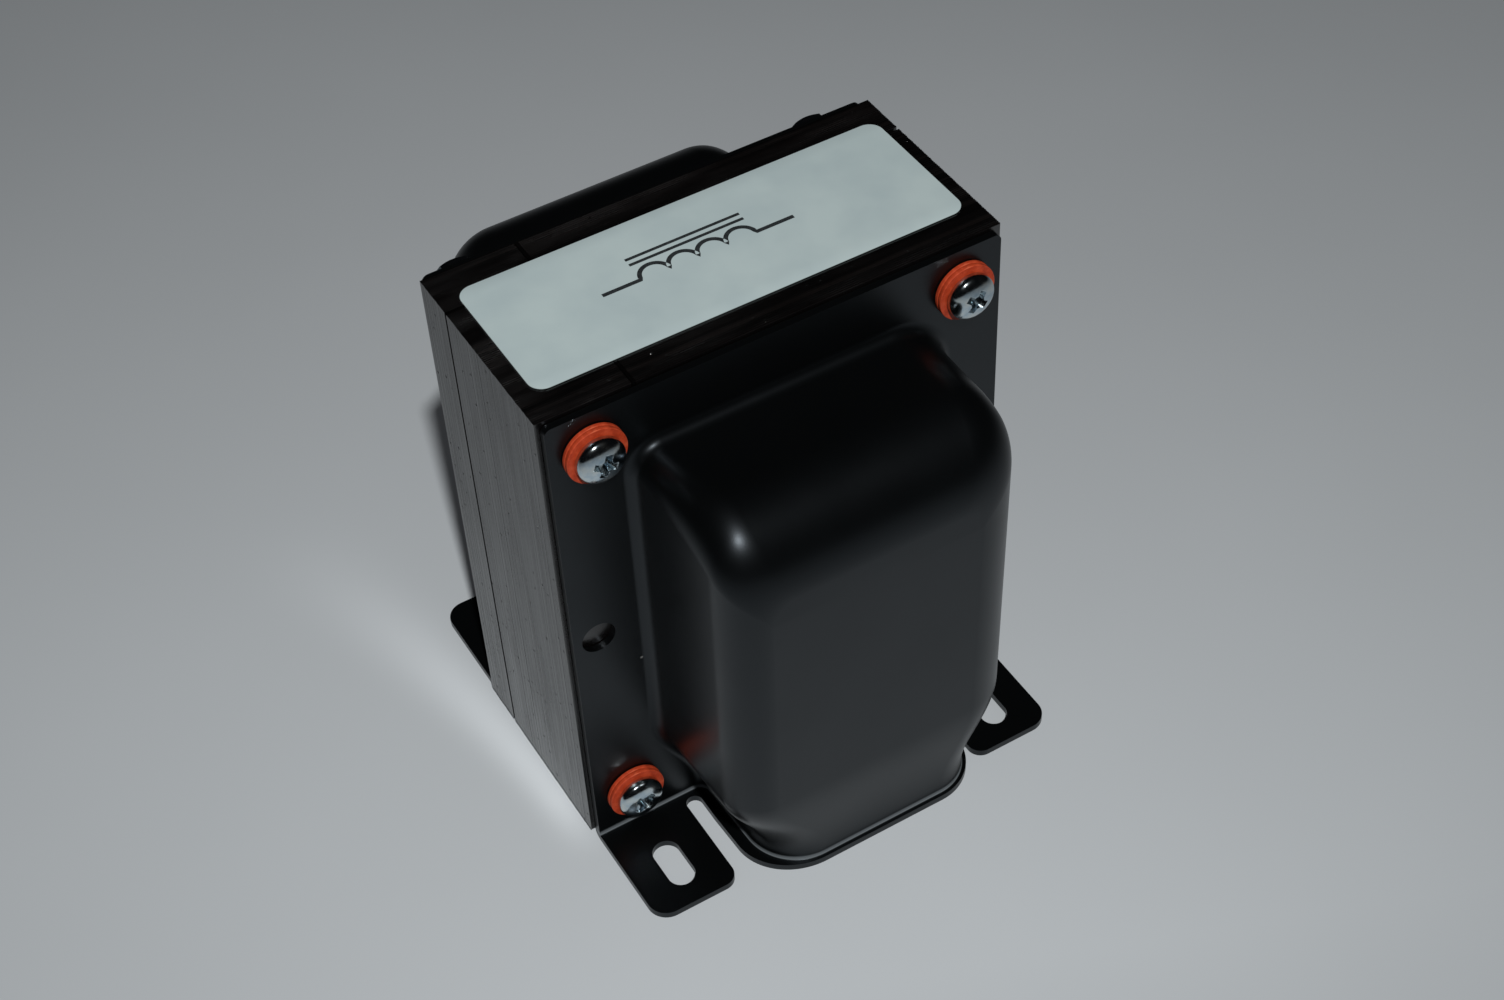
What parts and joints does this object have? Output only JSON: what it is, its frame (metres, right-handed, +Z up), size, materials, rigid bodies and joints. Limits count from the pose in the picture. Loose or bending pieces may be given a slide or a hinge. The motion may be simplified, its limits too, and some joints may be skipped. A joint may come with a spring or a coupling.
{
  "type": "choke inductor",
  "caption": "Iron-core choke with drawn black end bells over the coil, a varnished lamination stack held by four long screws, and slotted feet for a chassis.",
  "frame": {"origin": "on the surface that the feet stand on, below the middle of the core", "axes": "+Z up from the feet, +Y from the front bell to the rear bell, +X to the right seen from the front"},
  "size_m": [0.096, 0.1118, 0.1169],
  "materials": {
    "bell_paint": "satin black paint on drawn steel",
    "laminations": "dark varnish over cut silicon steel edges",
    "pressboard": "plain electrical pressboard",
    "copper_wire": "enamelled copper wire, glossy",
    "coil_paper": "varnished kraft paper",
    "wedge_board": "hard fibre board",
    "label_foil": "matte metallised film",
    "red_fibre": "vulcanised red-brown fibre",
    "zinc_plate": "bright zinc plate with a bluish passivation"
  },
  "bodies": {
    "root": {"front_bell": "bell_paint", "rear_bell": "bell_paint", "e_laminations_front": "laminations", "e_laminations_rear": "laminations", "i_laminations_front": "laminations", "i_laminations_rear": "laminations", "gap_spacer": "pressboard", "coil_former": "pressboard", "winding": "copper_wire", "coil_wrap": "coil_paper", "coil_wedge_upper": "wedge_board", "coil_wedge_lower": "wedge_board", "label": "label_foil", "bolt_sleeve_upper_left": "pressboard", "bolt_sleeve_upper_right": "pressboard", "bolt_sleeve_lower_left": "pressboard", "bolt_sleeve_lower_right": "pressboard", "fibre_washer_upper_left_1": "red_fibre", "fibre_washer_upper_left_2": "red_fibre", "fibre_washer_upper_right_1": "red_fibre", "fibre_washer_upper_right_2": "red_fibre", "fibre_washer_lower_left_1": "red_fibre", "fibre_washer_lower_left_2": "red_fibre", "fibre_washer_lower_right_1": "red_fibre", "fibre_washer_lower_right_2": "red_fibre", "rear_fibre_washer_upper_left": "red_fibre", "rear_fibre_washer_upper_right": "red_fibre", "rear_fibre_washer_lower_left": "red_fibre", "rear_fibre_washer_lower_right": "red_fibre", "screw_upper_left": "zinc_plate", "screw_upper_right": "zinc_plate", "screw_lower_left": "zinc_plate", "screw_lower_right": "zinc_plate", "lock_washer_upper_left": "zinc_plate", "lock_washer_upper_right": "zinc_plate", "lock_washer_lower_left": "zinc_plate", "lock_washer_lower_right": "zinc_plate", "nut_upper_left": "zinc_plate", "nut_upper_right": "zinc_plate", "nut_lower_left": "zinc_plate", "nut_lower_right": "zinc_plate"}
  },
  "joints": []
}
